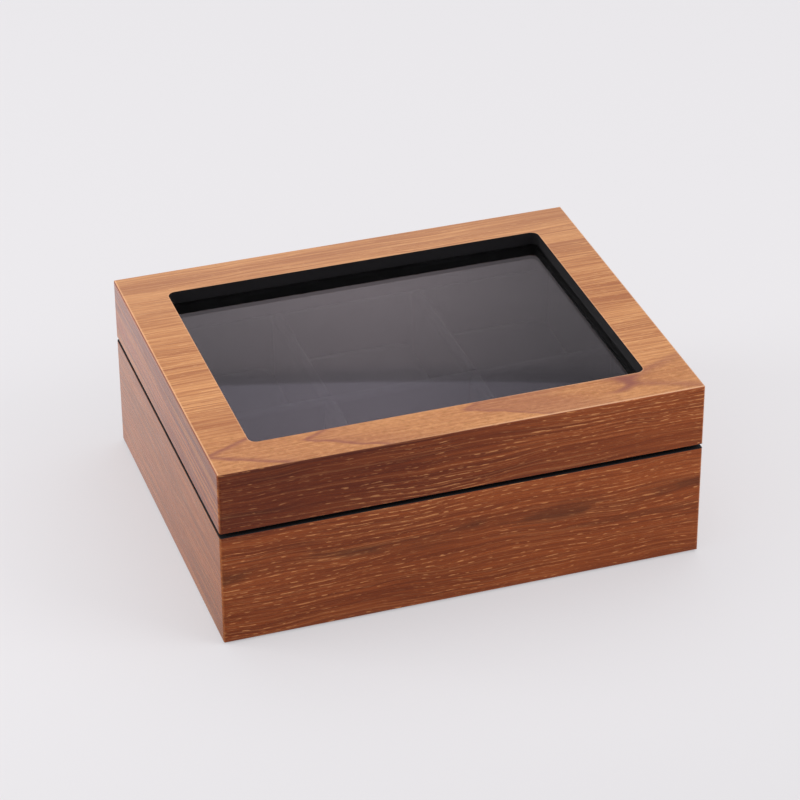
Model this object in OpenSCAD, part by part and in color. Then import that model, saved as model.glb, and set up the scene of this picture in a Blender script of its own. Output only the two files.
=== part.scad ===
// Pocket watch display box: a glazed lid on two stop hinges over six padded velvet compartments
// Millimetres, +X along the front to the right, +Y to the back, +Z up
// The origin is on the table, under the middle of the box

/* [Box] */
// Outside width of the wooden box, left to right
box_w = 200; // [170:1:230]
// Outside depth of the wooden box, front to back
box_d = 160; // [140:1:190]
// Height of the base's rim above the table
base_h = 49.8; // [44:0.1:60]
// Height of the wooden lid
lid_h = 27.1; // [24:0.1:34]
// Thickness of the base walls and of the lid rails
wall_t = 6.5; // [6:0.1:8]
// Radius of the upright corners
corner_r = 1.3; // [0.6:0.1:2.5]
// Radius of the lid's upper edges
top_edge_r = 1; // [0.5:0.1:2]
// Radius of the edges along the seam and under the base
seam_edge_r = 0.6; // [0.3:0.1:1]

/* [Underside] */
// Thickness of the felt under the base
felt_t = 0.8; // [0.6:0.1:1.5]
// Distance of the felt's edge from the outside of the box
felt_inset = 1.6; // [1:0.1:4]
// Thickness of the bottom panel
bottom_t = 4; // [3:0.1:6]
// Depth of the rebate that holds the bottom panel
bottom_rebate = 3; // [2:0.1:4]

/* [Window] */
// Width of the wooden border round the window
border_w = 18.3; // [16:0.1:24]
// Corner radius of the window
window_r = 3.4; // [2:0.1:8]
// Depth of the glass below the top of the lid
glass_depth = 5.6; // [4:0.1:7]
// Thickness of the glass
glass_t = 2.2; // [1.8:0.1:3]
// Width of glass that lies hidden in the rebate
glass_lap = 4.5; // [3:0.1:6]
// Clearance round the edge of the glass
glass_clear = 0.4; // [0.2:0.1:0.8]
// Thickness of the strips that hold the glass in
retainer_t = 2; // [1.5:0.1:3]
// Distance of the strips from the edge of the window
retainer_setback = 1; // [0.5:0.1:2]

/* [Lining] */
// Thickness of the velvet boards on the base walls
liner_t = 1.5; // [1.2:0.1:2.5]
// Height of the base lining above the base's rim
liner_rise = 2.2; // [1.9:0.1:3]
// Thickness of the velvet boards on the lid rails
lid_liner_t = 1.5; // [1.2:0.1:2.5]
// Thickness of a divider with its velvet
divider_t = 5; // [4:0.1:7]
// Height of the dividers above the base's rim
divider_rise = 2; // [1:0.1:2.8]
// Clearance left by the pile between velvet and its neighbour
pile_gap = 0.25; // [0.15:0.05:0.4]

/* [Pads] */
// Depth of the pads' crowns below the base's rim
pad_drop = 15.8; // [12:0.1:22]
// Rise of a pad's crown above its shoulder
pad_crown = 2.4; // [1:0.1:4]
// Distance that a pad's sides pull in between the corners
pad_draw = 0.9; // [0.3:0.1:2]
// Radius of the roll round a pad's upper edge
pad_roll = 3; // [1.5:0.1:5]

/* [Hinges] */
// Distance from the side of the box to a hinge's near end
hinge_inset = 30; // [20:1:40]
// Length of a hinge
hinge_len = 26; // [24:1:32]
// Width of a leaf on the rim
leaf_w = 5.2; // [4.6:0.1:5.6]
// Thickness of a leaf
leaf_t = 0.75; // [0.6:0.05:0.9]
// Clearance between the two closed leaves
leaf_gap = 0.1; // [0.06:0.02:0.2]
// Outside diameter of the knuckles
barrel_d = 3.2; // [2.8:0.1:4]
// Diameter of the pin
pin_d = 1.5; // [1.2:0.1:1.8]
// Radial clearance of the pin
pin_clear = 0.05; // [0.02:0.01:0.1]
// Gap between neighbouring knuckles
knuckle_gap = 0.15; // [0.1:0.05:0.3]
// Width of each stop lug
lug_w = 2; // [1.5:0.1:3]
// Reach of the stop lugs behind the pin
lug_reach = 2.6; // [2.2:0.1:3.5]
// Angle at which the stop lugs meet
stop_angle = 95.5; // [90.5:0.5:110.5]
// Distance between the two screws of a leaf
screw_pitch = 14; // [12:0.5:17]
// Diameter of a screw's head
screw_head_d = 2.8; // [2.4:0.1:3.2]
// Diameter of a screw's shank
screw_d = 1.4; // [1.2:0.1:1.6]
// Length of a screw
screw_len = 6; // [4:0.5:9]

/* [Hidden] */
$fn = 48;
eps = 0.01;
wood = [0.47, 0.25, 0.14];
velvet = [0.06, 0.06, 0.065];
felt = [0.05, 0.05, 0.05];
board = [0.35, 0.26, 0.17];
glass = [0.75, 0.82, 0.82, 0.35];
brass = [0.72, 0.56, 0.28];

// Heights, from the table up
wood_z0 = felt_t;
floor_z = wood_z0 + bottom_t;
seam_gap = 2 * leaf_t + leaf_gap;
lid_z0 = base_h + seam_gap;
top_z = lid_z0 + lid_h;
glass_z1 = top_z - glass_depth;
glass_z0 = glass_z1 - glass_t;
glass_float = 0.1;
panel_z0 = glass_z0 - glass_float;
retainer_z0 = panel_z0 - retainer_t;
liner_z1 = base_h + liner_rise;
divider_z1 = base_h + divider_rise;

// Window opening and the rebate round it
window_w = box_w - 2 * border_w;
window_d = box_d - 2 * border_w;
rebate_lap = glass_lap + glass_clear;

// Space inside the walls and inside the lining
liner_inset = wall_t + pile_gap;
lined_w = box_w - 2 * (liner_inset + liner_t);
lined_d = box_d - 2 * (liner_inset + liner_t);
columns = 3;
rows = 2;
cell_w = (lined_w - (columns - 1) * divider_t) / columns;
cell_d = (lined_d - (rows - 1) * divider_t) / rows;
cell_pitch_x = cell_w + divider_t;
cell_pitch_y = cell_d + divider_t;
lap_z = (floor_z + divider_z1) / 2;
divider_edge_r = divider_t * 0.4;
liner_edge_r = liner_t * 0.45;
lid_liner_edge_r = lid_liner_t * 0.45;

// Pads
pad_z0 = floor_z + pile_gap;
pad_z1 = base_h - pad_drop;
pad_w = cell_w - 2 * pile_gap;
pad_d = cell_d - 2 * pile_gap;
pad_foot_roll = 2;
pad_sides = 40;
pad_roll_steps = 3;
pad_crown_steps = 5;
pad_squareness = 7;

// Hinges
hinge_x = box_w / 2 - hinge_inset - hinge_len / 2;
barrel_r = barrel_d / 2;
back_clear = 0.1;
axis_y = box_d / 2 + barrel_r + back_clear;
axis_z = base_h + seam_gap / 2;
barrel_len = hinge_len - 2 * (lug_w + knuckle_gap);
knuckles = 5;
knuckle_len = (barrel_len - (knuckles - 1) * knuckle_gap) / knuckles;
knuckle_pitch = knuckle_len + knuckle_gap;
leaf_corner_r = 0.8;
screw_clear = 0.05;
screw_cone_h = (screw_head_d - screw_d) / 2;
screw_y = box_d / 2 - leaf_w / 2;
screw_slot_w = 0.35;
screw_slot_depth = 0.35;

// Sides of the box, in turn anticlockwise from the front
FRONT = 0;
RIGHT = 1;
BACK = 2;
LEFT = 3;
function along(side) = side % 2 == 0 ? box_w : box_d;
function across(side) = side % 2 == 0 ? box_d : box_w;

// Stands the children at one side of the box, with +Y pointing inwards from its outer face
module at_side(side, inset = 0) {
    rotate(side * 90)
        translate([0, inset - across(side) / 2, 0])
            children();
}

// What is left of a square corner outside a circle of radius r, for cutting round edges
module corner_nib(r) {
    difference() {
        square(r + eps);
        circle(r);
    }
}

// Rectangle centred on the origin with four round corners
module round_plan(w, d, r) {
    difference() {
        square([w, d], center = true);
        for (sx = [0, 1], sy = [0, 1])
            mirror([sx, 0]) mirror([0, sy])
                translate([w / 2 - r, d / 2 - r])
                    corner_nib(r);
    }
}

// Strip with mitred ends, its outer long edge on the X axis, its outer corners rounded by r
module mitred_plan(len, w, r) {
    difference() {
        polygon([[-len / 2, 0], [len / 2, 0], [len / 2 - w, w], [w - len / 2, w]]);
        if (r > 0)
            for (sx = [0, 1])
                mirror([sx, 0])
                    translate([len / 2 - r, r])
                        mirror([0, 1])
                            corner_nib(r);
    }
}

// Bar along X with mitred ends; the child is its section, with x inwards and y as height
module mitred_bar(len, w, r, z0, z1) {
    intersection() {
        translate([0, 0, z0]) linear_extrude(z1 - z0) mitred_plan(len, w, r);
        rotate([90, 0, 90]) linear_extrude(len + 2, center = true) children();
    }
}

// Section of a wooden wall: outer edges rounded at the top and the foot by their own radii
module wall_section(z0, z1, r_foot, r_top) {
    difference() {
        translate([0, z0]) square([wall_t, z1 - z0]);
        if (r_top > 0)
            translate([r_top, z1 - r_top]) mirror([1, 0]) corner_nib(r_top);
        if (r_foot > 0)
            translate([r_foot, z0 + r_foot]) mirror([1, 0]) mirror([0, 1]) corner_nib(r_foot);
    }
}

module base_wall(side) {
    color(wood)
        difference() {
            at_side(side)
                mitred_bar(along(side), wall_t, corner_r, wood_z0, base_h)
                    wall_section(wood_z0, base_h, seam_edge_r, seam_edge_r);
            translate([0, 0, wood_z0 - eps])
                linear_extrude(bottom_t + eps)
                    square([box_w - 2 * (wall_t - bottom_rebate),
                            box_d - 2 * (wall_t - bottom_rebate)], center = true);
            if (side == BACK)
                screw_places() translate([0, 0, base_h + leaf_t]) mirror([0, 0, 1]) screw_hole();
        }
}

module lid_rail(side) {
    color(wood)
        difference() {
            at_side(side)
                mitred_bar(along(side), wall_t, corner_r, lid_z0, panel_z0)
                    wall_section(lid_z0, panel_z0, seam_edge_r, 0);
            if (side == BACK)
                screw_places() translate([0, 0, lid_z0 - leaf_t]) screw_hole();
        }
}

// Velvet board inside a wall, its upper edge rolled over
module base_liner(side) {
    len = along(side) - 2 * liner_inset;
    color(velvet)
        at_side(side, liner_inset)
            mitred_bar(len, liner_t, 0, floor_z, liner_z1)
                board_section(liner_t, floor_z, liner_z1, liner_edge_r);
}

// Section of a velvet board, its two upper edges rounded by r
module board_section(t, z0, z1, r) {
    difference() {
        translate([0, z0]) square([t, z1 - z0]);
        translate([t - r, z1 - r]) corner_nib(r);
        translate([r, z1 - r]) mirror([1, 0]) corner_nib(r);
    }
}

// Velvet board inside a lid rail; its lower edge stops just above the base lining
module lid_liner(side) {
    len = along(side) - 2 * liner_inset;
    z0 = liner_z1 + pile_gap;
    color(velvet)
        at_side(side, liner_inset)
            mitred_bar(len, lid_liner_t, 0, z0, retainer_z0)
                translate([0, z0 + retainer_z0])
                    mirror([0, 1])
                        board_section(lid_liner_t, z0, retainer_z0, lid_liner_edge_r);
}

// Velvet strip that holds the glass up in its rebate
module glass_retainer(side) {
    len = along(side) - 2 * liner_inset;
    w = border_w - retainer_setback - liner_inset;
    color(velvet)
        at_side(side, liner_inset)
            translate([0, 0, retainer_z0])
                linear_extrude(retainer_t)
                    mitred_plan(len, w, 0);
}

module bottom_felt() {
    color(felt)
        linear_extrude(felt_t)
            round_plan(box_w - 2 * felt_inset, box_d - 2 * felt_inset, corner_r);
}

module base_bottom_panel() {
    panel_inset = wall_t - bottom_rebate;
    color(board)
        translate([0, 0, wood_z0])
            linear_extrude(bottom_t)
                square([box_w - 2 * panel_inset, box_d - 2 * panel_inset], center = true);
}

// Long divider from front to back; its upper half is slotted for the cross divider
module long_divider(x) {
    color(velvet)
        translate([x, 0, 0])
            difference() {
                rotate([90, 0, 0])
                    linear_extrude(lined_d - 2 * pile_gap, center = true)
                        translate([-divider_t / 2, 0])
                            board_section(divider_t, floor_z, divider_z1, divider_edge_r);
                translate([-divider_t / 2 - eps, -divider_t / 2 - pile_gap, lap_z])
                    cube([divider_t + 2 * eps, divider_t + 2 * pile_gap, divider_z1]);
            }
}

// Cross divider from side to side; its lower half is slotted for the long dividers
module cross_divider() {
    color(velvet)
        difference() {
            rotate([90, 0, 90])
                linear_extrude(lined_w - 2 * pile_gap, center = true)
                    translate([-divider_t / 2, 0])
                        board_section(divider_t, floor_z, divider_z1, divider_edge_r);
            for (s = [-1, 1])
                translate([s * cell_pitch_x / 2 - divider_t / 2 - pile_gap,
                           -divider_t / 2 - eps, floor_z - eps])
                    cube([divider_t + 2 * pile_gap, divider_t + 2 * eps, lap_z - floor_z + pile_gap]);
        }
}

// Outline of a pad at one height: a squarish oval whose sides pull in between the corners
function pad_point(a, w, d) =
    let (c = cos(a), s = sin(a), n = 2 / pad_squareness)
    let (ux = sign(c) * pow(abs(c), n), uy = sign(s) * pow(abs(s), n))
    [ux * (w / 2 - pad_draw * (1 - uy * uy)), uy * (d / 2 - pad_draw * (1 - ux * ux))];

function pad_ring(w, d, z) =
    [for (i = [0 : pad_sides - 1])
        let (p = pad_point((i + 0.5) * 360 / pad_sides, w, d)) [p[0], p[1], z]];

// Rings from the foot to the crown: foot roll, shoulder roll, then the crown as a parabola
function pad_rings() =
    let (shoulder = pad_z1 - pad_crown - pad_roll, rw = pad_w - 2 * pad_roll, rd = pad_d - 2 * pad_roll)
    concat(
        [for (k = [0 : pad_roll_steps - 1])
            let (t = 90 * k / (pad_roll_steps - 1), in = pad_foot_roll * (1 - sin(t)))
            pad_ring(pad_w - 2 * in, pad_d - 2 * in, pad_z0 + pad_foot_roll * (1 - cos(t)))],
        [for (k = [0 : pad_roll_steps])
            let (t = 90 * k / pad_roll_steps, in = pad_roll * (1 - cos(t)))
            pad_ring(pad_w - 2 * in, pad_d - 2 * in, shoulder + pad_roll * sin(t))],
        [for (k = [1 : pad_crown_steps - 1])
            let (s = 1 - k / pad_crown_steps)
            pad_ring(rw * s, rd * s, pad_z1 - pad_crown * s * s)]);

// Foam pad in velvet, for one compartment
module watch_pad(column, row) {
    rings = pad_rings();
    n = pad_sides;
    m = len(rings);
    points = concat([for (ring = rings) each ring], [[0, 0, pad_z0], [0, 0, pad_z1]]);
    skin = [for (j = [0 : m - 2], i = [0 : n - 1])
        let (a = j * n + i, b = j * n + (i + 1) % n)
        each [[a, a + n, b], [b, a + n, b + n]]];
    foot = [for (i = [0 : n - 1]) [m * n, i, (i + 1) % n]];
    crown = [for (i = [0 : n - 1]) [m * n + 1, (m - 1) * n + (i + 1) % n, (m - 1) * n + i]];
    color(velvet)
        translate([(column - (columns - 1) / 2) * cell_pitch_x, (row - (rows - 1) / 2) * cell_pitch_y, 0])
            polyhedron(points, concat(skin, foot, crown));
}

// Top board of the lid: round upper edges, window, and a rebate below for the glass
module lid_top_panel() {
    color(wood)
        difference() {
            translate([0, 0, panel_z0])
                linear_extrude(top_z - panel_z0)
                    difference() {
                        round_plan(box_w, box_d, corner_r);
                        round_plan(window_w, window_d, window_r);
                    }
            for (side = [FRONT : LEFT])
                at_side(side)
                    rotate([90, 0, 90])
                        linear_extrude(along(side) + 2, center = true)
                            translate([top_edge_r, top_z - top_edge_r])
                                mirror([1, 0])
                                    corner_nib(top_edge_r);
            translate([0, 0, panel_z0 - eps])
                linear_extrude(glass_z1 - panel_z0 + eps)
                    round_plan(window_w + 2 * rebate_lap, window_d + 2 * rebate_lap,
                               window_r + glass_clear);
        }
}

module window_glass() {
    color(glass)
        translate([0, 0, glass_z0])
            linear_extrude(glass_t)
                round_plan(window_w + 2 * glass_lap, window_d + 2 * glass_lap, window_r);
}

// Puts the children at the two screws of each hinge
module screw_places() {
    for (s = [-1, 1], e = [-1, 1])
        translate([s * hinge_x + e * screw_pitch / 2, screw_y, 0])
            children();
}

// Countersunk hole, through leaf and wood, for a screw whose head lies at height 0
module screw_hole() {
    translate([0, 0, -eps])
        cylinder(r = screw_d / 2 + screw_clear, h = screw_len + screw_clear + eps);
    cylinder(r1 = screw_head_d / 2 + screw_clear, r2 = screw_d / 2 + screw_clear, h = screw_cone_h);
}

// Countersunk screw with its flat head at height 0 and its point upwards
module screw() {
    difference() {
        union() {
            cylinder(d1 = screw_head_d, d2 = screw_d, h = screw_cone_h);
            cylinder(d = screw_d, h = screw_len - screw_d);
            translate([0, 0, screw_len - screw_d]) cylinder(d1 = screw_d, d2 = screw_d * 0.2, h = screw_d);
        }
        translate([-screw_head_d, -screw_slot_w / 2, -eps])
            cube([2 * screw_head_d, screw_slot_w, screw_slot_depth + eps]);
    }
}

// Leaf of a hinge with its knuckles and stop lugs, drawn above the pin's axis and centred on it;
// the knuckles whose number leaves the given remainder belong to this leaf
module hinge_leaf(odd) {
    plate_y = -(barrel_r + back_clear);
    difference() {
        union() {
            translate([0, 0, leaf_gap / 2]) linear_extrude(leaf_t) leaf_plan(plate_y);
            for (k = [0 : knuckles - 1])
                if (k % 2 == odd)
                    translate([-barrel_len / 2 + k * knuckle_pitch, 0, 0])
                        rotate([90, 0, 90])
                            linear_extrude(knuckle_len) {
                                circle(barrel_r);
                                translate([plate_y - eps, leaf_gap / 2]) square([-plate_y, leaf_t]);
                            }
            for (s = [-1, 1])
                translate([s * (hinge_len - lug_w) / 2, 0, 0])
                    rotate([90, 0, 90])
                        linear_extrude(lug_w, center = true)
                            lug_section(plate_y);
        }
        rotate([0, 90, 0])
            cylinder(r = pin_d / 2 + pin_clear, h = barrel_len + knuckle_gap, center = true);
        for (e = [-1, 1])
            translate([e * screw_pitch / 2, plate_y - leaf_w / 2, leaf_gap / 2])
                screw_hole();
    }
}

// Plate of a leaf, its two free corners rounded
module leaf_plan(plate_y) {
    difference() {
        translate([-hinge_len / 2, plate_y - leaf_w]) square([hinge_len, leaf_w]);
        for (sx = [0, 1])
            mirror([sx, 0])
                translate([hinge_len / 2 - leaf_corner_r, plate_y - leaf_w + leaf_corner_r])
                    mirror([0, 1])
                        corner_nib(leaf_corner_r);
    }
}

// Section of a stop lug: from the plate back to the axis, then out along half the stop angle
module lug_section(plate_y) {
    run = (lug_reach - leaf_gap / 2) / tan(stop_angle / 2);
    polygon([[plate_y - eps, leaf_gap / 2], [0, leaf_gap / 2], [run, lug_reach],
             [plate_y + back_clear, lug_reach], [plate_y + back_clear, leaf_gap / 2 + leaf_t],
             [plate_y - eps, leaf_gap / 2 + leaf_t]]);
}

module hinge_base_leaf(s) {
    color(brass)
        translate([s * hinge_x, axis_y, axis_z])
            mirror([0, 0, 1])
                hinge_leaf(0);
}

module hinge_lid_leaf(s) {
    color(brass)
        translate([s * hinge_x, axis_y, axis_z])
            hinge_leaf(1);
}

module hinge_pin(s) {
    color(brass)
        translate([s * hinge_x, axis_y, axis_z])
            rotate([0, 90, 0])
                cylinder(d = pin_d, h = barrel_len, center = true);
}

module base_hinge_screws() {
    color(brass)
        screw_places()
            translate([0, 0, base_h + leaf_t])
                mirror([0, 0, 1])
                    screw();
}

module lid_hinge_screws() {
    color(brass)
        screw_places()
            translate([0, 0, lid_z0 - leaf_t])
                screw();
}

bottom_felt();
base_bottom_panel();
base_wall(FRONT);  // base_front_wall
base_wall(BACK);  // base_back_wall
base_wall(LEFT);  // base_left_wall
base_wall(RIGHT);  // base_right_wall
base_liner(FRONT);  // base_front_liner
base_liner(BACK);  // base_back_liner
base_liner(LEFT);  // base_left_liner
base_liner(RIGHT);  // base_right_liner
long_divider(-cell_pitch_x / 2);  // left_divider
long_divider(cell_pitch_x / 2);  // right_divider
cross_divider();
watch_pad(0, 0);  // watch_pad_front_left
watch_pad(1, 0);  // watch_pad_front_middle
watch_pad(2, 0);  // watch_pad_front_right
watch_pad(0, 1);  // watch_pad_back_left
watch_pad(1, 1);  // watch_pad_back_middle
watch_pad(2, 1);  // watch_pad_back_right
hinge_base_leaf(-1);  // left_hinge_base_leaf
hinge_base_leaf(1);  // right_hinge_base_leaf
hinge_pin(-1);  // left_hinge_pin
hinge_pin(1);  // right_hinge_pin
base_hinge_screws();
lid_top_panel();
lid_rail(FRONT);  // lid_front_rail
lid_rail(BACK);  // lid_back_rail
lid_rail(LEFT);  // lid_left_rail
lid_rail(RIGHT);  // lid_right_rail
window_glass();
glass_retainer(FRONT);  // glass_retainer_front
glass_retainer(BACK);  // glass_retainer_back
glass_retainer(LEFT);  // glass_retainer_left
glass_retainer(RIGHT);  // glass_retainer_right
lid_liner(FRONT);  // lid_front_liner
lid_liner(BACK);  // lid_back_liner
lid_liner(LEFT);  // lid_left_liner
lid_liner(RIGHT);  // lid_right_liner
hinge_lid_leaf(-1);  // left_hinge_lid_leaf
hinge_lid_leaf(1);  // right_hinge_lid_leaf
lid_hinge_screws();
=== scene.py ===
"""Finish of a pocket watch display box: veneer, glass, velvet, brass, and the studio round it."""
import math

import bpy
import numpy as np
from bpy.props import FloatProperty, FloatVectorProperty, IntProperty
from mathutils import Matrix, Vector


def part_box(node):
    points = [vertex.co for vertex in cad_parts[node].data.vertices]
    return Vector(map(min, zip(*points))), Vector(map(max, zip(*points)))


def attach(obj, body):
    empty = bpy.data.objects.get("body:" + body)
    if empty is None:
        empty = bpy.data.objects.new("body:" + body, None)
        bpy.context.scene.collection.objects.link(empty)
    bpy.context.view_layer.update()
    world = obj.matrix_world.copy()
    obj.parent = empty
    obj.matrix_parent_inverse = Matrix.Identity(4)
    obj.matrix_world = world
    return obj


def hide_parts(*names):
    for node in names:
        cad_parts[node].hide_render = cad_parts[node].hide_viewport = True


bl_info = {
    "name": "Pocket watch display box",
    "version": (1, 0, 0),
    "blender": (4, 5, 0),
    "location": "View3D > Sidebar > Watch box",
    "description": "Veneer, glass, velvet and brass for a glazed pocket watch box",
    "category": "Object",
}

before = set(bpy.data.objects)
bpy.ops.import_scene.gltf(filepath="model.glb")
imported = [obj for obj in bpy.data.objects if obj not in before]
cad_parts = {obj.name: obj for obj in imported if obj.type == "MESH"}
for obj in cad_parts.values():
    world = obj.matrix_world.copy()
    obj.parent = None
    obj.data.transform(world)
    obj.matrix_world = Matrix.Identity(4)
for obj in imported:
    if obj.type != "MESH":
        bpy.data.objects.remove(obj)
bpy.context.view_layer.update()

SIDES = ("front", "right", "back", "left")
WALLS = [f"base_{side}_wall" for side in SIDES]
RAILS = [f"lid_{side}_rail" for side in SIDES]
LINERS = [f"base_{side}_liner" for side in SIDES] + [f"lid_{side}_liner" for side in SIDES]
RETAINERS = [f"glass_retainer_{side}" for side in SIDES]
DIVIDERS = ["left_divider", "right_divider", "cross_divider"]
PADS = [f"watch_pad_{row}_{column}" for row in ("front", "back") for column in ("left", "middle", "right")]
HINGES = [f"{side}_hinge_{part}" for side in ("left", "right") for part in ("base_leaf", "lid_leaf", "pin")]
SCREWS = ["base_hinge_screws", "lid_hinge_screws"]

MM = 0.001
# Sizes that the materials need, in millimetres
HALF_W, HALF_D, TOP_Z = (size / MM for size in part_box("lid_top_panel")[1])
LID_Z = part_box("lid_front_rail")[0].z / MM
RIM_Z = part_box("base_front_wall")[1].z / MM
BORDER = 18.3
WINDOW_X, WINDOW_Y, WINDOW_R = HALF_W - BORDER, HALF_D - BORDER, 3.4
LEFT, RIGHT = -90.0, 95.0  # along the front, where its shading ends
RINGS = 0.52  # growth rings in a millimetre
PORE_ROW = 0.3  # where in a ring the open pores lie
STREAK_Z = 32.5  # height of the dusky streak on the front
HEART = 14.0  # distance of the cathedral figure's heart line from the lid's front edge
FIGURE_SPAN = 220.0  # length on which the figure's stops lie
EYE_X, EYE_Y = 61.0, 13.0  # middle of the purple eye: from the middle, and from the front edge
BLACK_PAINT = (0.0045, 0.004, 0.0055)
SIDE_ROOM, HEAD_ROOM = 0.6, 1.0  # free space beside and above a pad before it swells
CREASE, SAG = 0.22, 0.3  # height of a pad's creases, and depth of its sags
CLOTH_FRAMES = 20

# Shares of a pad's profile: t runs from the middle of the foot to the crown
FOOT_END, SIDE_END = 0.12, 0.62
FOOT_ROLL_END, SHOULDER_START = 0.12, 0.82
RINGS_OF_POINTS, POINTS_AROUND = 72, 168

# The studio: share of its own tone in the floor that the camera sees, and the wall that the glass mirrors,
# by its heading in degrees and by where on the way up its shading starts and how far that goes
OWN_TONE = 0.54
WALL_HEADING, WALL_START, WALL_SPAN = 17.0, 0.476, 0.0581


class Value:
    """A node's output, on which Python's own operators add Math nodes."""

    def __init__(self, sheet, socket):
        self.sheet = sheet
        self.socket = socket

    def math(self, operation, a, b=0.0):
        return self.sheet.node("ShaderNodeMath", {"operation": operation}, {0: a, 1: b})

    def __add__(self, other):
        return self.math("ADD", self, other)

    def __radd__(self, other):
        return self.math("ADD", other, self)

    def __sub__(self, other):
        return self.math("SUBTRACT", self, other)

    def __rsub__(self, other):
        return self.math("SUBTRACT", other, self)

    def __mul__(self, other):
        return self.math("MULTIPLY", self, other)

    def __truediv__(self, other):
        return self.math("DIVIDE", self, other)

    def __pow__(self, other):
        return self.math("POWER", self, other)

    def __mod__(self, other):
        return self.math("FLOORED_MODULO", self, other)

    def __abs__(self):
        return self.math("ABSOLUTE", self)


class Sheet:
    """The node tree of one material, world or light."""

    def __init__(self, tree):
        self.tree = tree
        tree.nodes.clear()

    def node(self, kind, settings=None, sockets=None, output=0):
        """Adds a node: its settings first, then its sockets by name or number; returns one output."""
        made = self.tree.nodes.new(kind)
        for name, value in (settings or {}).items():
            if name == "stops":
                self.set_stops(made.color_ramp.elements, value)
            else:
                setattr(made, name, value)
        for name, value in (sockets or {}).items():
            if isinstance(value, Value):
                self.tree.links.new(value.socket, made.inputs[name])
            else:
                made.inputs[name].default_value = value
        return Value(self, made.outputs[output]) if made.outputs else made

    @staticmethod
    def set_stops(elements, stops):
        """Gives a colour ramp its stops, each a place and a colour."""
        while len(elements) < len(stops):
            elements.new(1.0)
        for element, (place, colour) in zip(elements, stops):
            element.position = place
            element.color = (*colour, 1.0)

    def noise(self, place, detail=2.0, rough=0.5):
        """Smooth noise from 0 to 1 at a place of three Values or numbers, one blob per unit."""
        vector = self.node("ShaderNodeCombineXYZ", None, dict(enumerate(place)))
        sockets = {"Vector": vector, "Scale": 1.0, "Detail": detail, "Roughness": rough}
        return self.node("ShaderNodeTexNoise", None, sockets)

    def ramp(self, value, low, high, start=0.0, end=1.0):
        """Smooth step of a value between low and high, from start to end."""
        sockets = {"Value": value, "From Min": low, "From Max": high, "To Min": start, "To Max": end}
        return self.node("ShaderNodeMapRange", {"interpolation_type": "SMOOTHSTEP"}, sockets)

    def less(self, a, b):
        """1 where a is less than b, else 0."""
        return self.node("ShaderNodeMath", {"operation": "LESS_THAN"}, {0: a, 1: b})

    def curve(self, value, stops):
        """Colour of a ramp with the given stops at a value."""
        return self.node("ShaderNodeValToRGB", {"stops": stops}, {0: value})

    def scaled(self, colour, share):
        """A colour times a Value."""
        return self.node("ShaderNodeVectorMath", {"operation": "SCALE"}, {0: colour, "Scale": share})

    def least(self, a, b):
        return self.node("ShaderNodeMath", {"operation": "MINIMUM"}, {0: a, 1: b})

    def most(self, a, b):
        return self.node("ShaderNodeMath", {"operation": "MAXIMUM"}, {0: a, 1: b})

    def blend(self, share, a, b):
        """Colour a where share is 0, b where it is 1."""
        a, b = (c if isinstance(c, Value) else (*c, 1.0) for c in (a, b))
        return self.node("ShaderNodeMix", {"data_type": "RGBA"}, {0: share, 6: a, 7: b}, 2)

    def place(self):
        """Object coordinates as three Values in millimetres."""
        spot = self.node("ShaderNodeTexCoord", None, None, "Object")
        parts = [self.node("ShaderNodeSeparateXYZ", None, {0: spot}, i) for i in range(3)]
        return [part / MM for part in parts]

    def bump(self, height, distance, strength=1.0):
        """Normal from a height of 0 to 1 that stands for a real distance in millimetres."""
        sockets = {"Height": height, "Distance": distance * MM, "Strength": strength}
        return self.node("ShaderNodeBump", None, sockets)

    def finish(self, sockets):
        """Ends a material in one Principled shader."""
        surface = self.node("ShaderNodeBsdfPrincipled", None, sockets)
        self.node("ShaderNodeOutputMaterial", None, {"Surface": surface})


def material(name, build):
    """Material of that name whose nodes the build function makes."""
    made = bpy.data.materials.new(name)
    made.use_nodes = True
    build(Sheet(made.node_tree))
    return made


def dress(names, finish):
    """Gives CAD nodes one material."""
    for name in names:
        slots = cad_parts[name].data.materials
        slots.clear()
        slots.append(finish)


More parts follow.
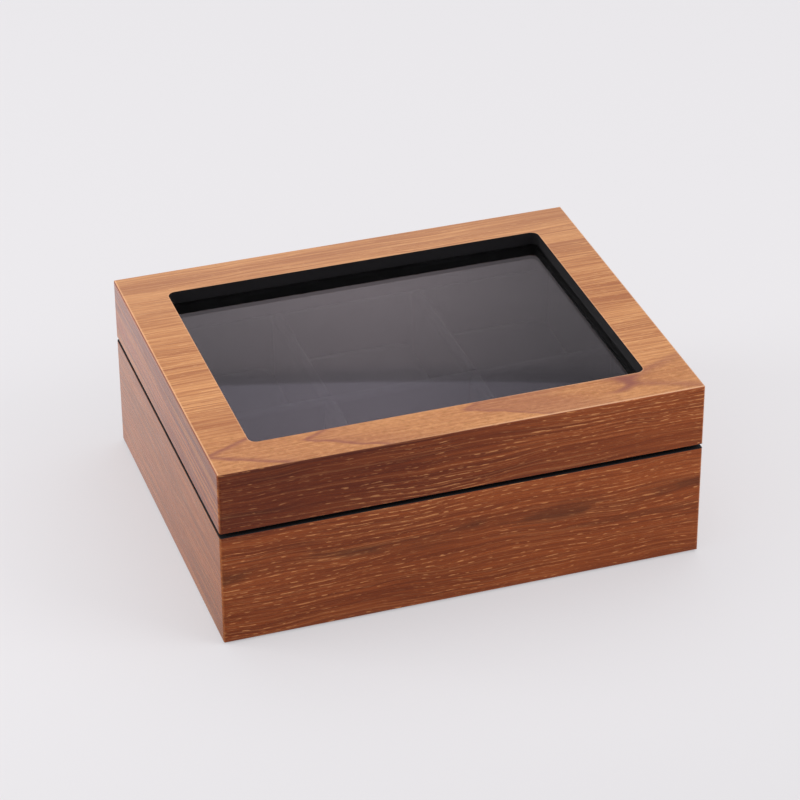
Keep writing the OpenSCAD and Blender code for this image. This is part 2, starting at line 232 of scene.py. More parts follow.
def grain(sheet, along, across, seed, tones, sway=3.0, lively=1.0):
    """Veneer seen flat. Growth rings run along the first coordinate and sway across it: each has a row
    of short open pores and ends in a dark line. Broad bands, ribbons and fibres lie over them. A lively
    share below 1 turns down pores and dark bands. Returns colour, pores, fibres."""
    drift = sheet.noise((along * 0.011, across * 0.03, seed), 2.0)
    ripple = sheet.noise((along * 0.06, across * 0.10, seed + 2.0), 1.0)
    lane = across + (drift - 0.5) * (sway * 4.0) + (ripple - 0.5) * (sway * 0.3)
    band = sheet.noise((along * 0.005, lane * 0.075, seed + 4.0), 2.0)
    ribbon = sheet.noise((along * 0.016, lane * 0.55, seed + 6.0), 4.0, 0.65)
    line = sheet.noise((along * 0.013, lane * 1.25, seed + 7.0), 1.5)
    fibre = sheet.noise((along * 0.06, lane * 3.4, seed + 8.0), 2.0)
    tone = sheet.ramp(band * 0.4 + ribbon * 0.6, 0.38, 0.62)
    colour = sheet.blend(tone, tones["dark"], tones["light"])
    dusk = sheet.ramp(band + (ribbon - 0.5) * 0.4, 0.40, 0.31)
    colour = sheet.blend(dusk * lively * tones["dusk_share"], colour, tones["dusk"])
    wobble = sheet.noise((along * 0.02, lane * 0.22, seed + 10.0), 2.0)
    ring = (lane * RINGS + wobble * 1.6) % 1.0
    late = sheet.ramp(ring, 0.62, 0.92) * sheet.ramp(ring, 1.0, 0.94)
    late = late * sheet.ramp(ribbon, 0.62, 0.40, 0.3, 1.0)
    lines = sheet.most(late, sheet.ramp(line, 0.55, 0.68) * 0.8)
    colour = sheet.blend(lines * tones["line_share"], colour, tones["line"])
    colour = sheet.blend(sheet.ramp(line, 0.46, 0.34, 0.0, tones["gleam_share"]), colour, tones["pore"])
    colour = sheet.blend(sheet.ramp(fibre, 0.5, 0.7, 0.0, 0.4), colour, tones["dark"])
    dash = sheet.noise((along * 0.26, lane * 1.1, seed + 12.0), 1.0)
    pore = sheet.noise((along * 0.16, lane * 3.2, seed + 14.0), 1.0)
    opened = sheet.ramp(dash + (drift - 0.5) * 0.5 + (band - 0.5) * 0.3, 0.53, 0.66)
    strings = sheet.ramp(abs(ring - PORE_ROW), 0.16, 0.04) * opened
    pores = sheet.most(strings, sheet.ramp(pore, 0.65, 0.72) * 0.5) * lively
    return sheet.blend(pores * tones["pore_share"], colour, tones["pore"]), pores, fibre


def side_veneer(sheet, x, y, z, tones):
    """Veneer on the upright faces, its grain level: along X in front and behind, along Y at the sides.
    The front is painted darker towards its left end, most on the lid (painted shade), and lighter towards its
    right end and on the base (painted light); the sides are calmer and carry a painted sheen."""
    front = sheet.less(HALF_D - abs(y), HALF_W - abs(x))
    along = x * front + y * (1 - front)
    colour, pores, fibre = grain(sheet, along, z, 17.0 - front * 14.0, tones, 3.0, 0.2 + front * 0.8)
    # Painted shade: the front is darker towards its left end, most on the lid.
    deep = sheet.ramp(along, 80.0, LEFT) * sheet.ramp(z, RIM_Z, LID_Z, 0.08, 0.55) * front
    colour = sheet.blend(deep, colour, tones["deep"])
    # Painted light: the front is lighter towards its right end and on the base below the seam.
    lift = sheet.ramp(along, -40.0, RIGHT, 0.0, 0.16) + sheet.ramp(z, LID_Z, RIM_Z, 0.0, 0.10)
    colour = sheet.blend(lift * front, colour, tones["lift"])
    # Painted sheen on the sides: paler on the base, with paler streaks mostly on the lid.
    stripe = sheet.noise((along * 0.005, z * 0.42, 41.0), 1.0)
    painted_sheen = sheet.ramp(z, RIM_Z, LID_Z, 0.18, 0.0)
    painted_sheen = painted_sheen + sheet.ramp(stripe, 0.5, 0.6) * sheet.ramp(z, RIM_Z, LID_Z, 0.1, 0.38)
    colour = sheet.blend(painted_sheen * (1 - front), colour, tones["painted_sheen"])
    wave = sheet.noise((along * 0.018, z * 0.05, 23.0), 2.0)
    patch = sheet.noise((along * 0.035, z * 0.09, 27.0), 2.0)
    streak = sheet.ramp(abs(z - STREAK_Z + (wave - 0.5) * 16.0), 5.0, 0.5)
    streak = streak * sheet.ramp(patch, 0.40, 0.58, 0.25, 1.0)
    colour = sheet.blend(streak * 0.6 * front, colour, tones["dusk"])
    # Vertical corners lighter, more so towards the right: wear, and painted highlight of the corners catching
    # light from the right.
    corner = sheet.ramp(HALF_W - abs(x), 1.0, 0.3) * sheet.ramp(HALF_D - abs(y), 1.0, 0.3)
    rubbed_and_lit = sheet.ramp(sheet.noise((x * 0.2, y * 0.2, z * 0.2)), 0.35, 0.6, 0.2, 0.8)
    wear_and_highlight = corner * rubbed_and_lit * sheet.ramp(x, -80.0, 80.0, 0.2, 1.0)
    return sheet.blend(wear_and_highlight, colour, tones["wear_and_highlight"]), pores, fibre


def front_figure(sheet, x, y, colour, tones):
    """Cathedral figure over the lid's front border: nested points open to the right along one heart
    line, each edged by a thin late-wood line, and between them a curly ground."""
    bend = sheet.noise((x * 0.02, y * 0.02, 51.0), 2.0)
    small = sheet.noise((x * 0.10, y * 0.22, 53.0), 2.0)
    heart = y + HALF_D - HEART + (bend - 0.5) * 5.0 + (small - 0.5) * 1.2
    point = x - (heart * heart + 0.4) ** 0.5 * 2.3 + (small - 0.5) * 5.0 + 6.0
    shares = {0.0: 0.0, 0.05: 0.0, 0.065: 0.9, 0.09: 0.15, 0.232: 0.0, 0.245: 0.95, 0.262: 0.3, 0.34: 0.1,
              0.40: 0.0, 0.528: 0.0, 0.541: 0.8, 0.558: 0.45, 0.66: 0.4, 0.74: 0.0, 0.81: 0.0, 0.84: 0.6,
              0.89: 0.0}
    line = sheet.curve(point / FIGURE_SPAN + 0.5, [(place, (share,) * 3) for place, share in shares.items()])
    near = sheet.ramp(y + HALF_D, 36.0, 20.0)
    colour = sheet.blend(near * 0.5, colour, tones["ground"])
    curl = sheet.noise((x * 0.35, y * 0.55, 59.0), 4.0, 0.65)
    colour = sheet.blend(near * sheet.ramp(curl, 0.5, 0.68, 0.0, 0.75), colour, tones["curl"])
    colour = sheet.blend(near * sheet.ramp(curl, 0.48, 0.34, 0.0, 0.6), colour, tones["light"])
    colour = sheet.blend(line * near * 0.85, colour, tones["late"])
    across, deep = (x - EYE_X) / 13.0, (y + HALF_D - EYE_Y) / 5.5
    eye = (across ** 2.0 + deep ** 2.0) ** 0.5 + (small - 0.5) * 0.8
    shade = sheet.ramp(eye, 0.55, 0.95) * sheet.ramp(eye, 1.5, 1.0) * sheet.ramp(x, 58.0, 70.0)
    return sheet.blend(shade * 0.8, colour, tones["late"])


def veneer_build(side, top):
    """Nodes of all outer veneer. The lid's top is figured in front and straight behind; black paint
    covers the edges along the seam, the window's sides and every inner face."""

    def build(sheet):
        x, y, z = sheet.place()
        colour, pores, fibre = side_veneer(sheet, x, y, z, side)
        flat, flat_pores, flat_fibre = grain(sheet, x, y, 31.0, top, 1.8)
        # Painted sheen: the top grows paler towards the back.
        flat = sheet.blend(sheet.ramp(y, 0.0, 90.0, 0.0, 0.3), flat, top["painted_sheen"])
        flat = front_figure(sheet, x, y, flat, top)
        edge = sheet.least(HALF_W - abs(x), HALF_D - abs(y))
        depth = TOP_Z - z
        in_front = sheet.less(HALF_D + y, HALF_W - abs(x))
        # Rounded top edges and window edges lighter, most along the front's right half: wear, and painted
        # highlight; the front's left half shows the dark veneer joint instead.
        lit_share = sheet.ramp(x, -40.0, 50.0, 0.15, 1.0) * in_front + (1 - in_front) * 0.8
        inner_x = sheet.most(abs(x) - WINDOW_X + WINDOW_R, 0.0)
        inner_y = sheet.most(abs(y) - WINDOW_Y + WINDOW_R, 0.0)
        window = (inner_x * inner_x + inner_y * inner_y) ** 0.5 - WINDOW_R
        rubbed_and_lit = sheet.ramp(edge, 1.0, 0.5) + sheet.ramp(window, 0.5, 0.2) * 0.6
        flat = sheet.blend(rubbed_and_lit * lit_share * 0.7, flat, top["wear_and_highlight"])
        on_top = sheet.ramp(edge - depth, -0.15, 0.15)
        joint = sheet.ramp(depth, 0.8, 1.1) * sheet.ramp(depth, 1.9, 1.3) * (1 - lit_share) * in_front
        colour = sheet.blend(joint * 0.75, colour, side["joint"])
        colour = sheet.blend(on_top, colour, flat)
        pores = pores + (flat_pores - pores) * on_top
        fibre = fibre + (flat_fibre - fibre) * on_top
        gap = (LID_Z - RIM_Z) / 2
        seam = sheet.ramp(abs(z - RIM_Z - gap), gap + 0.35, gap + 0.2)
        core = sheet.ramp(edge, 0.75, 0.9) * sheet.ramp(depth, 0.02, 0.1)
        cover = sheet.most(seam, core)
        sheet.finish({
            "Base Color": sheet.blend(cover, colour, BLACK_PAINT),
            "Roughness": sheet.ramp(fibre, 0.3, 0.7, 0.24, 0.34) * (1 - cover) + cover * 0.75,
            "IOR": 1.38,
            "Normal": sheet.bump(fibre * 0.3 + (1 - pores) * 0.7, 0.03, 0.4),
        })

    return build


def velvet_build(colour, nap):
    """Nodes of short black pile: fine mottling, brushed patches and a soft sheen."""

    def build(sheet):
        x, y, z = sheet.place()
        pile = sheet.noise((x * 1.6, y * 1.6, z * 1.6), 3.0, 0.65)
        brushed = sheet.noise((x * 0.05, y * 0.05, z * 0.05), 3.0)
        shade = sheet.ramp(brushed * 0.8 + pile * 0.2, 0.38, 0.62)
        deep = tuple(c * 0.75 for c in colour)
        lift = tuple(c * 1.3 for c in colour)
        sheet.finish({
            "Base Color": sheet.blend(shade, deep, lift),
            "Roughness": sheet.ramp(pile, 0.3, 0.7, 0.85, 1.0),
            "Sheen Weight": nap,
            "Sheen Roughness": 0.4,
            "Specular IOR Level": 0.15,
            "Normal": sheet.bump(pile, 0.15, 0.25),
        })

    return build


def felt_build(sheet):
    """Nodes of pressed black felt: matted fibres."""
    x, y, z = sheet.place()
    mat = sheet.noise((x * 1.2, y * 1.2, z * 1.2), 5.0, 0.7)
    sheet.finish({
        "Base Color": sheet.blend(sheet.ramp(mat, 0.35, 0.65), (0.008, 0.008, 0.008), (0.028, 0.027, 0.027)),
        "Roughness": 0.95,
        "Specular IOR Level": 0.1,
        "Normal": sheet.bump(mat, 0.3, 0.8),
    })


def board_build(sheet):
    """Nodes of raw hardboard: brown, matted and slightly mottled."""
    x, y, z = sheet.place()
    mat = sheet.noise((x * 0.7, y * 0.7, z * 0.7), 5.0, 0.7)
    sheet.finish({
        "Base Color": sheet.blend(sheet.ramp(mat, 0.35, 0.65), (0.11, 0.06, 0.03), (0.2, 0.12, 0.065)),
        "Roughness": 0.8,
        "Normal": sheet.bump(mat, 0.1, 0.5),
    })


def glass_build(sheet):
    """Nodes of clear float glass."""
    sheet.finish({
        "Base Color": (0.97, 0.985, 0.98, 1.0),
        "Roughness": 0.0,
        "IOR": 1.5,
        "Transmission Weight": 1.0,
    })


def brass_build(sheet):
    """Nodes of brushed brass: lines along X, a little tarnish in patches."""
    x, y, z = sheet.place()
    brush = sheet.noise((x * 0.4, y * 9.0, z * 9.0), 2.0, 0.6)
    tarnish = sheet.noise((x * 0.12, y * 0.12, z * 0.12), 2.0)
    colour = sheet.blend(sheet.ramp(tarnish, 0.35, 0.7), (0.80, 0.60, 0.29), (0.64, 0.44, 0.19))
    sheet.finish({
        "Base Color": colour,
        "Metallic": 1.0,
        "Roughness": sheet.ramp(brush, 0.3, 0.7, 0.24, 0.36),
        "Normal": sheet.bump(brush, 0.004, 0.3),
    })


def grid_mesh(name, points, finish):
    """Closed mesh from rings of points, shaped (rings, around, 3), with a pole at each end.
    The first and last rings hold one repeated point each."""
    rings, around = points.shape[:2]
    body = points[1:-1].reshape(-1, 3)
    verts = np.vstack([points[0, :1], body, points[-1, :1]])
    i, j = np.meshgrid(np.arange(rings - 3), np.arange(around), indexing="ij")
    a = 1 + i * around + j
    b = 1 + i * around + (j + 1) % around
    quads = np.stack([a, b, b + around, a + around], axis=-1).reshape(-1, 4)
    k = np.arange(around)
    foot = np.stack([np.zeros_like(k), 1 + (k + 1) % around, 1 + k], axis=-1)
    start = 1 + (rings - 3) * around
    top = np.full_like(k, len(verts) - 1)
    crown = np.stack([top, start + k, start + (k + 1) % around], axis=-1)
    mesh = bpy.data.meshes.new(name)
    mesh.from_pydata(verts.tolist(), [], quads.tolist() + foot.tolist() + crown.tolist())
    mesh.polygons.foreach_set("use_smooth", np.ones(len(mesh.polygons), bool))
    mesh.materials.append(finish)
    mesh.update()
    made = bpy.data.objects.new(name, mesh)
    bpy.context.scene.collection.objects.link(made)
    return made


def pad_surface(low, high, settings, seed):
    """Points of one pad: t climbs from the middle of the foot, up the side and over the shoulder
    to the crown; the angle goes round a squarish oval whose sides pull in between the corners."""
    t = np.linspace(0.0, 1.0, RINGS_OF_POINTS)[:, None]
    angle = np.linspace(0.0, 2 * np.pi, POINTS_AROUND, endpoint=False)[None, :]
    half = (np.array(high) - np.array(low)) / 2
    middle = (np.array(high) + np.array(low)) / 2
    draw, roll, crown = settings.draw_in, settings.roll, settings.crown
    foot_roll = roll * 0.6

    under = np.clip(t / FOOT_END, 0.0, 1.0)
    side = np.clip((t - FOOT_END) / (SIDE_END - FOOT_END), 0.0, 1.0)
    top = np.clip((t - SIDE_END) / (1 - SIDE_END), 0.0, 1.0)
    rise = np.clip(side / FOOT_ROLL_END, 0, 1)
    straight = np.clip((side - FOOT_ROLL_END) / (SHOULDER_START - FOOT_ROLL_END), 0, 1)
    shoulder = np.clip((side - SHOULDER_START) / (1 - SHOULDER_START), 0.0, 1.0)

    round_foot = np.sqrt(np.clip(1 - (1 - rise) ** 2, 0, 1))
    inset = foot_roll * (1 - round_foot) + roll * (1 - np.cos(shoulder * np.pi / 2))
    spread = under * (1 - top)
    squareness = 2.0 / 7.0
    c, s = np.cos(angle), np.sin(angle)
    ux = np.sign(c) * np.abs(c) ** squareness
    uy = np.sign(s) * np.abs(s) ** squareness
    x = ux * (half[0] - inset - draw * (1 - uy ** 2)) * spread
    y = uy * (half[1] - inset - draw * (1 - ux ** 2)) * spread

    wall = 2 * half[2] - crown - roll - foot_roll
    z = foot_roll * (1 - np.cos(rise * np.pi / 2)) + wall * straight + roll * np.sin(shoulder * np.pi / 2)
    z = np.where(t <= FOOT_END, 0.0, z) + crown * (1 - (1 - top) ** 2) * (t > SIDE_END)
    turn = np.random.default_rng(seed).uniform(0, 2 * np.pi, 2)
    crease = CREASE * MM * np.sin(8 * angle + turn[0]) * np.exp(-((top - 0.16) / 0.14) ** 2) * (t > 0.6)
    sag = SAG * MM * np.sin(2 * angle + turn[1]) * top * (1 - top) * 4
    z = z + crease - np.abs(sag)
    return np.stack([x + middle[0], y + middle[1], z + low[2]], axis=-1)


def coordinates(mesh):
    """The mesh's points as an array of rows."""
    points = np.empty(len(mesh.vertices) * 3)
    mesh.vertices.foreach_get("co", points)
    return points.reshape(-1, 3)


def swell(pad, low, high, form):
    """Lets the velvet swell over its foam: frames of cloth under pressure on an even mesh. The foot
    stays glued, no point moves past the reach, and all stay inside the compartment."""
    scene = bpy.context.scene
    remesh = pad.modifiers.new("even", "REMESH")
    remesh.mode = "VOXEL"
    remesh.voxel_size = form.voxel
    even = bpy.data.meshes.new_from_object(pad.evaluated_get(bpy.context.evaluated_depsgraph_get()))
    pad.modifiers.clear()
    pad.data = even
    points = coordinates(even)
    foot = pad.vertex_groups.new(name="foot")
    foot.add(np.nonzero(points[:, 2] < low[2] + form.voxel)[0].tolist(), 1.0, "REPLACE")
    cloth = pad.modifiers.new("cloth", "CLOTH")
    cloth.settings.use_pressure = True
    cloth.settings.uniform_pressure_force = form.pressure
    cloth.settings.effector_weights.gravity = 0.0
    cloth.settings.vertex_group_mass = "foot"
    cloth.point_cache.frame_start, cloth.point_cache.frame_end = 1, CLOTH_FRAMES
    for number in range(1, CLOTH_FRAMES + 1):
        scene.frame_set(number)
    shaped = pad.evaluated_get(bpy.context.evaluated_depsgraph_get()).to_mesh()
    move = coordinates(shaped) - points
    pad.modifiers.clear()
    pad.vertex_groups.clear()
    scene.frame_set(1)
    length = np.linalg.norm(move, axis=1, keepdims=True)
    points += move * np.minimum(1.0, form.reach / np.maximum(length, 1e-9))
    points = np.clip(points, np.array(low), np.array(high))
    even.vertices.foreach_set("co", points.ravel())
    even.polygons.foreach_set("use_smooth", np.ones(len(even.polygons), bool))
    even.update()
    fine = pad.modifiers.new("fine", "SUBSURF")
    fine.levels = fine.render_levels = 1


def colour_property(name, description, default):
    """Colour setting, in scene-linear red, green and blue."""
    return FloatVectorProperty(name=name, description=description, subtype="COLOR", default=default,
                               min=0, max=1)


def length_property(name, description, default, low, high):
    """Length setting, given in millimetres."""
    return FloatProperty(name=name, description=description, default=default * MM, min=low * MM, max=high * MM,
                         unit="LENGTH")


class VeneerSettings(bpy.types.PropertyGroup):
    """Tones of the veneer"""

    top_light: colour_property("Top, light", "Early wood on the lid's top", (0.66, 0.30, 0.11))
    top_dark: colour_property("Top, dark", "Streaks on the lid's top", (0.40, 0.142, 0.044))
    side_light: colour_property("Sides, light", "Early wood on the sides", (0.30, 0.066, 0.012))
    side_dark: colour_property("Sides, dark", "Streaks on the sides", (0.155, 0.026, 0.004))


class LiningSettings(bpy.types.PropertyGroup):
    """Colour and nap of the velvet"""

    pile: colour_property("Pile", "Colour of the velvet", (0.008, 0.008, 0.009))
    nap: FloatProperty(name="Nap", description="Sheen of the pile", default=0.06, min=0, max=1)


class PadSettings(bpy.types.PropertyGroup):
    """Form of the watch pads"""

    crown: length_property("Crown", "Rise of the crown above the shoulder", 2.4, 0, 5)
    draw_in: length_property("Draw-in", "How far the sides pull in between the corners", 0.9, 0, 3)
    roll: length_property("Roll", "Radius of the roll round the upper edge", 3, 0.5, 6)
    seed: IntProperty(name="Seed", description="Start of the random creases", default=4)
    voxel: length_property("Voxel", "Size of the even mesh's faces", 2, 1, 5)
    pressure: FloatProperty(name="Pressure", description="Push of the foam on the velvet", default=4.0, min=0)
    reach: length_property("Reach", "How far a point may move as the pad swells", 1.6, 0, 5)


class StudioSettings(bpy.types.PropertyGroup):
    """Camera and light"""

    eye: FloatVectorProperty(name="Eye", description="Place of the camera", subtype="TRANSLATION",
                             default=(-0.35112, -1.05912, 0.72761))
    azimuth: FloatProperty(name="Azimuth", description="Heading of the camera, clockwise from +Y",
                           default=math.radians(18.311), subtype="ANGLE")
    tilt: FloatProperty(name="Tilt", description="Angle of the camera below the horizon",
                        default=math.radians(31.426), subtype="ANGLE")
    roll: FloatProperty(name="Roll", description="Turn of the camera about its own line of sight",
                        default=math.radians(-0.4208), subtype="ANGLE")
    lens: FloatProperty(name="Lens", description="Focal length on a 36 mm sensor", default=143.1)
    paper: colour_property("Paper", "Colour of the floor as it is seen", (0.800, 0.785, 0.805))


def settings(name):
    return getattr(bpy.context.scene, "watch_box_" + name)


class WATCHBOX_OT_veneer(bpy.types.Operator):
    """Veneer the walls, the rails and the lid's top"""

    bl_idname = "watchbox.veneer"
    bl_label = "Veneer"

    def execute(self, context):
        kept = settings("veneer")
        # Tones: deep is painted shade and lift painted light on the front, the sheen tones are painted sheen,
        # and the edge tones are wear with painted highlight.
        side = {"light": kept.side_light[:], "dark": kept.side_dark[:], "dusk": (0.085, 0.022, 0.007),
                "line": (0.10, 0.016, 0.003), "pore": (0.72, 0.31, 0.11), "wear_and_highlight": (0.62, 0.26, 0.10),
                "joint": (0.075, 0.008, 0.002), "deep": (0.08, 0.008, 0.001), "painted_sheen": (0.50, 0.185, 0.035),
                "lift": (0.46, 0.10, 0.016), "dusk_share": 0.6, "line_share": 0.6, "pore_share": 0.8,
                "gleam_share": 0.22}
        top = {"light": kept.top_light[:], "dark": kept.top_dark[:], "dusk": (0.36, 0.12, 0.04),
               "line": (0.33, 0.105, 0.03), "pore": (0.80, 0.43, 0.18), "wear_and_highlight": (0.85, 0.48, 0.27),
               "late": (0.25, 0.07, 0.045), "curl": (0.38, 0.15, 0.035), "ground": (0.50, 0.20, 0.066),
               "painted_sheen": (0.56, 0.30, 0.165), "dusk_share": 0.4, "line_share": 0.75, "pore_share": 0.5,
               "gleam_share": 0.35}
        dress([*WALLS, *RAILS, "lid_top_panel"], material("veneer", veneer_build(side, top)))
        return {"FINISHED"}


class WATCHBOX_OT_glass(bpy.types.Operator):
    """Polish the pane"""

    bl_idname = "watchbox.glass"
    bl_label = "Glass"

    def execute(self, context):
        dress(["window_glass"], material("float_glass", glass_build))
        return {"FINISHED"}


class WATCHBOX_OT_lining(bpy.types.Operator):
    """Cover liners, dividers and retainers in velvet, and finish the underside"""

    bl_idname = "watchbox.lining"
    bl_label = "Lining"

    def execute(self, context):
        kept = settings("lining")
        velvet = material("lining_velvet", velvet_build(kept.pile[:], kept.nap))
        dress(LINERS + RETAINERS + DIVIDERS, velvet)
        dress(["bottom_felt"], material("base_felt", felt_build))
        dress(["base_bottom_panel"], material("hardboard", board_build))
        return {"FINISHED"}


class WATCHBOX_OT_pads(bpy.types.Operator):
    """Make the six velvet pads"""

    bl_idname = "watchbox.pads"
    bl_label = "Watch pads"

    def execute(self, context):
        kept = settings("lining")
        form = settings("pads")
        velvet = material("pad_velvet", velvet_build(kept.pile[:], kept.nap))
        first_low, first_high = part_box(PADS[0])
        beside, above = Vector((SIDE_ROOM * MM, SIDE_ROOM * MM, 0.0)), Vector((0, 0, HEAD_ROOM * MM))
        points = pad_surface(first_low + beside, first_high - beside - above, form, form.seed)
        shape = grid_mesh("velvet_" + PADS[0], points, velvet)
        swell(shape, first_low, first_high, form)
        for node in PADS:
            pad = shape
            if node != PADS[0]:
                pad = shape.copy()
                pad.name = "velvet_" + node
                pad.data = shape.data.copy()
                pad.data.transform(Matrix.Translation(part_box(node)[0] - first_low))
                bpy.context.scene.collection.objects.link(pad)
            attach(pad, "base")
            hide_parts(node)
        return {"FINISHED"}


class WATCHBOX_OT_hinges(bpy.types.Operator):
    """Brush the brass of the hinges and their screws"""

    bl_idname = "watchbox.hinges"
    bl_label = "Hinges"

    def execute(self, context):
        dress(HINGES + SCREWS, material("hinge_brass", brass_build))
        return {"FINISHED"}


class WATCHBOX_OT_studio(bpy.types.Operator):
    """Make the floor, the light and the camera"""

    bl_idname = "watchbox.studio"
    bl_label = "Studio"

    def execute(self, context):
        kept = settings("studio")
        self.make_floor(kept)
        self.make_world(kept)
        self.make_lamps()
        self.make_camera(kept)
        context.scene.view_settings.view_transform = "Standard"
        return {"FINISHED"}

    @staticmethod
    def make_floor(kept):
        """A wide sheet of paper: what the camera sees is partly its own tone, partly the light on it."""
        reach = 12.0
        mesh = bpy.data.meshes.new("paper_floor")
        corners = [(-reach, -reach, 0), (reach, -reach, 0), (reach, reach, 0), (-reach, reach, 0)]
        mesh.from_pydata(corners, [], [(0, 1, 2, 3)])
        floor = bpy.data.objects.new("paper_floor", mesh)
        bpy.context.scene.collection.objects.link(floor)

        def build(sheet):
            through = sheet.node("ShaderNodeLightPath", None, None, "Is Transmission Ray")
            seen = sheet.most(sheet.node("ShaderNodeLightPath", None, None, "Is Camera Ray"), through)
            gloss = sheet.node("ShaderNodeLightPath", None, None, "Is Glossy Ray") * (1 - through)
            x, y, _ = sheet.place()
            tone = tuple(kept.paper)
            # Painted shade: the floor's own tone is slightly darker to the left and darker towards the front.
            side = sheet.ramp(x, -250.0, 250.0, 0.985, 1.0) * sheet.ramp(y, -60.0, -330.0, 1.0, 0.86)
            lit = sheet.node("ShaderNodeBsdfDiffuse", None, {"Color": (*tone, 1.0)})
            own = sheet.node("ShaderNodeEmission", None, {"Color": sheet.scaled(tone, side)})
            # Painted reflection source: the tone that glossy rays see is brighter behind the box's left side
            # and darker in front, which gives the left side its sheen.
            left = 1 + sheet.ramp(x, -70.0, -110.0) * sheet.ramp(y, -160.0, 280.0, -0.45, 0.55)
            front = sheet.ramp(y, -60.0, -90.0, 1.0, 0.5)
            mirror = sheet.node("ShaderNodeEmission", None, {"Color": sheet.scaled(tone, left * front)})
            mixed = sheet.node("ShaderNodeMixShader", None, {0: seen * OWN_TONE, 1: lit, 2: own})
            mixed = sheet.node("ShaderNodeMixShader", None, {0: gloss, 1: mixed, 2: mirror})
            sheet.node("ShaderNodeOutputMaterial", None, {"Surface": mixed})

        mesh.materials.append(material("paper", build))

    @staticmethod
    def make_world(kept):
        """Pale sky for lighting; camera and mirror rays see the studio's paper walls."""
        world = bpy.data.worlds.new("studio")
        world.use_nodes = True
        bpy.context.scene.world = world
        sheet = Sheet(world.node_tree)
        ray = sheet.node("ShaderNodeTexCoord", None, None, "Generated")
        east, north, rise = (sheet.node("ShaderNodeSeparateXYZ", None, {0: ray}, i) for i in range(3))
        through = sheet.node("ShaderNodeLightPath", None, None, "Is Transmission Ray")
        seen = sheet.node("ShaderNodeLightPath", None, None, "Is Camera Ray")
        gloss = sheet.most(sheet.node("ShaderNodeLightPath", None, None, "Is Glossy Ray"), through)
        heading = sheet.node("ShaderNodeMath", {"operation": "ARCTAN2"}, {0: east, 1: north})
        heading = heading * math.degrees(1)
        aside = sheet.ramp(abs(heading - WALL_HEADING), 9.0, 16.0)
        right = sheet.ramp(heading, 17.5, 22.5)
        wall = sheet.blend(right, (0.90, 0.78, 0.85), (0.50, 0.45, 0.49))
        left = sheet.ramp(heading, WALL_HEADING, 13.5)
        wall = sheet.blend(left, wall, (0.74, 0.66, 0.72))
        stops = [(0.0, (1.0, 1.0, 1.0)), (0.30, (1.0, 1.0, 1.0)), (0.60, (0.78, 0.78, 0.79)),
                 (0.66, (0.60, 0.61, 0.63)), (0.69, (0.60, 0.61, 0.64)), (0.703, (0.88, 0.90, 0.98)),
                 (1.0, (0.88, 0.88, 0.95))]
        shape = sheet.curve((rise - WALL_START) / WALL_SPAN, stops)
        wall = sheet.node("ShaderNodeMix", {"data_type": "RGBA", "blend_type": "MULTIPLY"},
                          {0: 1.0, 6: wall, 7: shape}, 2)
        wall = sheet.blend(aside, wall, (0.80, 0.76, 0.79))
        wall = sheet.blend(seen, wall, kept.paper[:])
        light = sheet.blend(sheet.ramp(rise, 0.2, 0.9), (0.5, 0.5, 0.51), (0.75, 0.75, 0.76))
        mirror = sheet.most(seen, gloss)
        sky = sheet.node("ShaderNodeBackground", None, {"Color": sheet.blend(mirror, light, wall)})
        sheet.node("ShaderNodeOutputWorld", None, {"Surface": sky})

    @staticmethod
    def make_lamps():
        """A broad overhead light, and a soft box at each side."""
        sun = bpy.data.lights.new("overhead", "SUN")
        sun.energy = 0.65
        sun.angle = math.radians(70)
        made = bpy.data.objects.new("overhead", sun)
        tip = Matrix.Rotation(math.radians(-18), 4, "X")
        made.matrix_world = tip @ Matrix.Rotation(math.radians(14), 4, "Y")
        bpy.context.scene.collection.objects.link(made)
        for name, place, watts in (("soft_box_right", (1.0, -0.75, 1.0), 5.5),
                                   ("soft_box_left", (-1.3, 0.35, 0.5), 9.0)):
            soft = bpy.data.lights.new(name, "AREA")
            soft.shape = "SQUARE"
            soft.size = 0.8
            soft.energy = watts
            made = bpy.data.objects.new(name, soft)
            aim = Vector((0.0, 0.0, 0.04)) - Vector(place)
            made.matrix_world = Matrix.LocRotScale(Vector(place), aim.to_track_quat("-Z", "Y"), None)
            bpy.context.scene.collection.objects.link(made)

    @staticmethod
    def make_camera(kept):
        lens = bpy.data.cameras.new("camera")
        lens.lens = kept.lens
        lens.sensor_width = 36.0
        lens.clip_start, lens.clip_end = 0.05, 50.0
        made = bpy.data.objects.new("camera", lens)
        turn = Matrix.Rotation(-kept.azimuth, 4, "Z") @ Matrix.Rotation(math.pi / 2 - kept.tilt, 4, "X")
        made.matrix_world = Matrix.Translation(kept.eye) @ turn @ Matrix.Rotation(kept.roll, 4, "Z")
        bpy.context.scene.collection.objects.link(made)
        bpy.context.scene.camera = made


class WATCHBOX_PT_panel(bpy.types.Panel):
    """Lists the steps in order"""

    bl_label = "Watch box"
    bl_idname = "WATCHBOX_PT_panel"
    bl_space_type = "VIEW_3D"
    bl_region_type = "UI"
    bl_category = "Watch box"

    def draw(self, context):
        for step in STEPS:
            self.layout.operator(step.bl_idname)
        for name in GROUPS:
            group = settings(name)
            for key in group.__annotations__:
                self.layout.prop(group, key)


STEPS = (WATCHBOX_OT_veneer, WATCHBOX_OT_glass, WATCHBOX_OT_lining, WATCHBOX_OT_pads, WATCHBOX_OT_hinges,
         WATCHBOX_OT_studio)
GROUPS = {"veneer": VeneerSettings, "lining": LiningSettings, "pads": PadSettings, "studio": StudioSettings}


def register():
    for kind in (*GROUPS.values(), *STEPS, WATCHBOX_PT_panel):
        bpy.utils.register_class(kind)
    for name, kind in GROUPS.items():
        setattr(bpy.types.Scene, "watch_box_" + name, bpy.props.PointerProperty(type=kind))


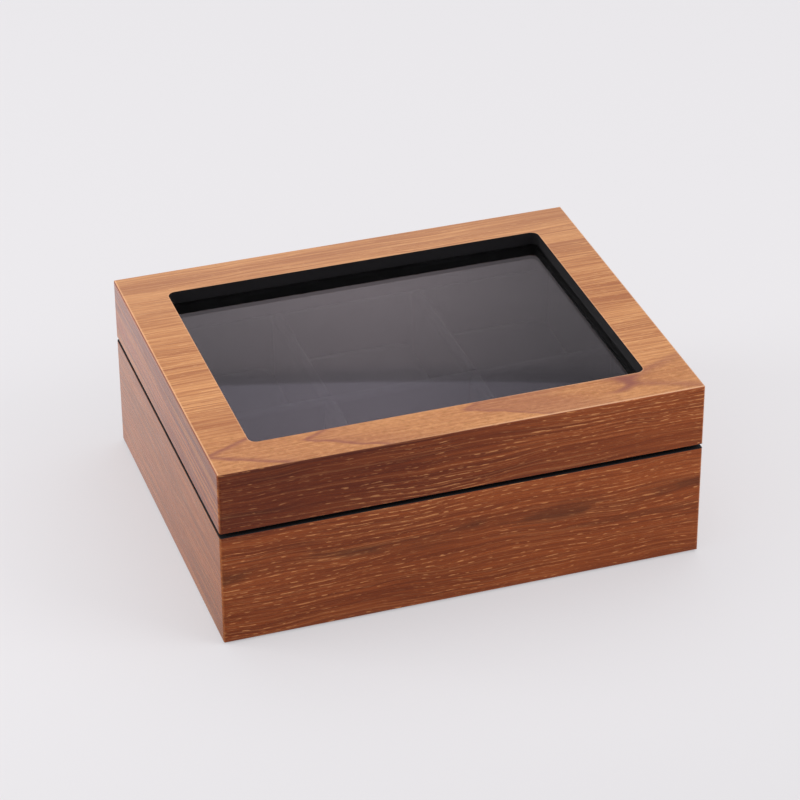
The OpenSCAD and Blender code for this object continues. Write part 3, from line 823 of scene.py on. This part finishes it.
def unregister():
    for name in GROUPS:
        delattr(bpy.types.Scene, "watch_box_" + name)
    for kind in reversed((*GROUPS.values(), *STEPS, WATCHBOX_PT_panel)):
        bpy.utils.unregister_class(kind)


def main():
    register()
    for step in ("veneer", "glass", "lining", "pads", "hinges", "studio"):
        getattr(bpy.ops.watchbox, step)()


if __name__ == "__main__":
    main()
